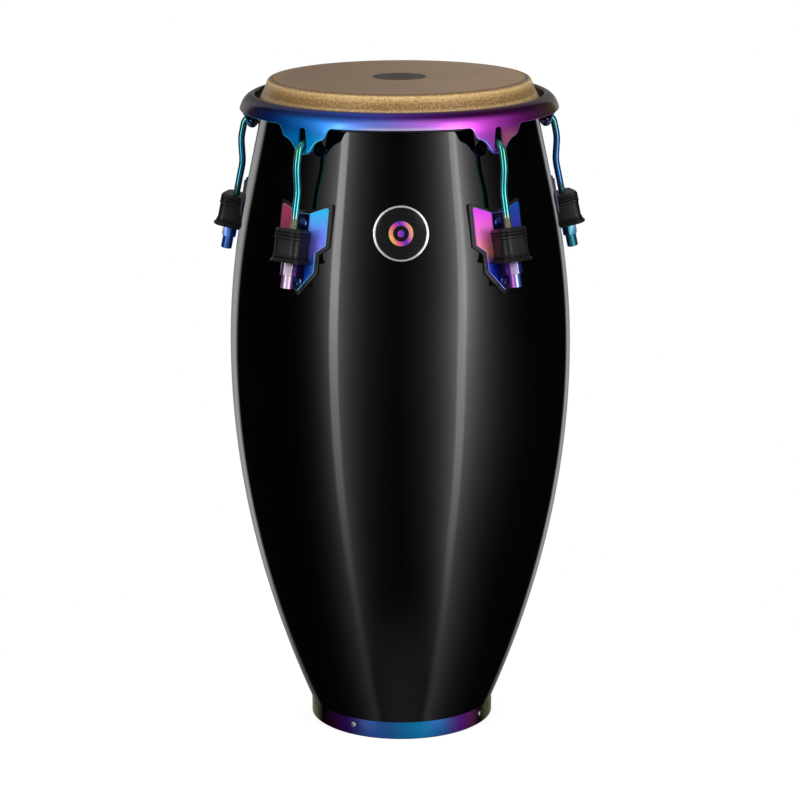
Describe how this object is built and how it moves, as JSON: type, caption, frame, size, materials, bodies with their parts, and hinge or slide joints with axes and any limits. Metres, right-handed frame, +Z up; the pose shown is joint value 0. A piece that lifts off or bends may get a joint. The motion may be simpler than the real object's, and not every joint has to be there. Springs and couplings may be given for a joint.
{
  "type": "conga drum",
  "caption": "Tall belly-shaped hand drum with a tucked head, a formed rim on tuning hooks, side plates with nuts under rubber covers, and a rubber-footed base ring.",
  "frame": {"origin": "on the drum's axis, on the floor plane under the rubber foot", "axes": "+Z up along the drum's axis, -Y towards the badge at the front, +X to the viewer's right"},
  "size_m": [0.436, 0.4231, 0.762],
  "materials": {
    "shell_gloss": "deep gloss black gel coat on moulded glass fibre",
    "head": "matt brown face with a golden collar",
    "crown_metal": "polished steel with an oil-slick rainbow coating",
    "hoop_metal": "plain alloy, wrapped in the head",
    "badge_print": "thin printed metal badge with a silver edge",
    "black_rubber": "matt black moulded rubber",
    "steel": "zinc plated steel"
  },
  "bodies": {
    "drum": {"shell": "shell_gloss", "head_skin": "head", "badge": "badge_print", "foot_ring": "crown_metal", "foot_ring_screws": "crown_metal", "foot_rubber": "black_rubber", "plate_bolts": "crown_metal", "bolt_washers": "steel", "bolt_nuts": "steel", "tuning_washers": "steel", "plate_gasket_1": "black_rubber", "side_plate_1": "crown_metal", "lug_bracket_1": "steel", "rubber_cover_1": "black_rubber", "plate_gasket_2": "black_rubber", "side_plate_2": "crown_metal", "lug_bracket_2": "steel", "rubber_cover_2": "black_rubber", "plate_gasket_3": "black_rubber", "side_plate_3": "crown_metal", "lug_bracket_3": "steel", "rubber_cover_3": "black_rubber", "plate_gasket_4": "black_rubber", "side_plate_4": "crown_metal", "lug_bracket_4": "steel", "rubber_cover_4": "black_rubber", "plate_gasket_5": "black_rubber", "side_plate_5": "crown_metal", "lug_bracket_5": "steel", "rubber_cover_5": "black_rubber"},
    "crown": {"rim": "crown_metal", "flesh_hoop": "hoop_metal"},
    "rod_1": {"hook_rod_1": "crown_metal"},
    "nut_1": {"tuning_nut_1": "crown_metal"},
    "rod_2": {"hook_rod_2": "crown_metal"},
    "nut_2": {"tuning_nut_2": "crown_metal"},
    "rod_3": {"hook_rod_3": "crown_metal"},
    "nut_3": {"tuning_nut_3": "crown_metal"},
    "rod_4": {"hook_rod_4": "crown_metal"},
    "nut_4": {"tuning_nut_4": "crown_metal"},
    "rod_5": {"hook_rod_5": "crown_metal"},
    "nut_5": {"tuning_nut_5": "crown_metal"}
  },
  "joints": [
    {"name": "nut_1_turn", "type": "hinge", "parent": "drum", "child": "nut_1", "pos_m": [-0.11706, -0.16111, 0.623], "axis": [0.1262, 0.1737, 0.9767], "range_deg": [-1260.5, 1080.5]},
    {"name": "rod_1_slide", "type": "slide", "parent": "drum", "child": "rod_1", "axis": [-0.1262, -0.1737, -0.9767], "range_m": [-0.00438, 0.00375]},
    {"name": "nut_2_turn", "type": "hinge", "parent": "drum", "child": "nut_2", "pos_m": [0.11706, -0.16111, 0.623], "axis": [-0.1262, 0.1737, 0.9767], "range_deg": [-1260.5, 1080.5]},
    {"name": "rod_2_slide", "type": "slide", "parent": "drum", "child": "rod_2", "axis": [0.1262, -0.1737, -0.9767], "range_m": [-0.00438, 0.00375]},
    {"name": "nut_3_turn", "type": "hinge", "parent": "drum", "child": "nut_3", "pos_m": [0.1894, 0.06154, 0.623], "axis": [-0.2042, -0.0664, 0.9767], "range_deg": [-1260.5, 1080.5]},
    {"name": "rod_3_slide", "type": "slide", "parent": "drum", "child": "rod_3", "axis": [0.2042, 0.0664, -0.9767], "range_m": [-0.00438, 0.00375]},
    {"name": "nut_4_turn", "type": "hinge", "parent": "drum", "child": "nut_4", "pos_m": [0, 0.19915, 0.623], "axis": [0, -0.2147, 0.9767], "range_deg": [-1260.5, 1080.5]},
    {"name": "rod_4_slide", "type": "slide", "parent": "drum", "child": "rod_4", "axis": [0, 0.2147, -0.9767], "range_m": [-0.00438, 0.00375]},
    {"name": "nut_5_turn", "type": "hinge", "parent": "drum", "child": "nut_5", "pos_m": [-0.1894, 0.06154, 0.623], "axis": [0.2042, -0.0664, 0.9767], "range_deg": [-1260.5, 1080.5]},
    {"name": "rod_5_slide", "type": "slide", "parent": "drum", "child": "rod_5", "axis": [-0.2042, 0.0664, -0.9767], "range_m": [-0.00438, 0.00375]},
    {"name": "rim_slide", "type": "slide", "parent": "drum", "child": "crown", "axis": [0, 0, -1], "range_m": [-0.00427, 0.00366]}
  ],
  "couplings": [
    {"joint": "nut_1_turn", "follows": "rim_slide", "rad_per_m": 5146.6},
    {"joint": "rod_1_slide", "follows": "rim_slide", "ratio": 1.0239},
    {"joint": "nut_2_turn", "follows": "rim_slide", "rad_per_m": 5146.6},
    {"joint": "rod_2_slide", "follows": "rim_slide", "ratio": 1.0239},
    {"joint": "nut_3_turn", "follows": "rim_slide", "rad_per_m": 5146.6},
    {"joint": "rod_3_slide", "follows": "rim_slide", "ratio": 1.0239},
    {"joint": "nut_4_turn", "follows": "rim_slide", "rad_per_m": 5146.6},
    {"joint": "rod_4_slide", "follows": "rim_slide", "ratio": 1.0239},
    {"joint": "nut_5_turn", "follows": "rim_slide", "rad_per_m": 5146.6},
    {"joint": "rod_5_slide", "follows": "rim_slide", "ratio": 1.0239}
  ]
}
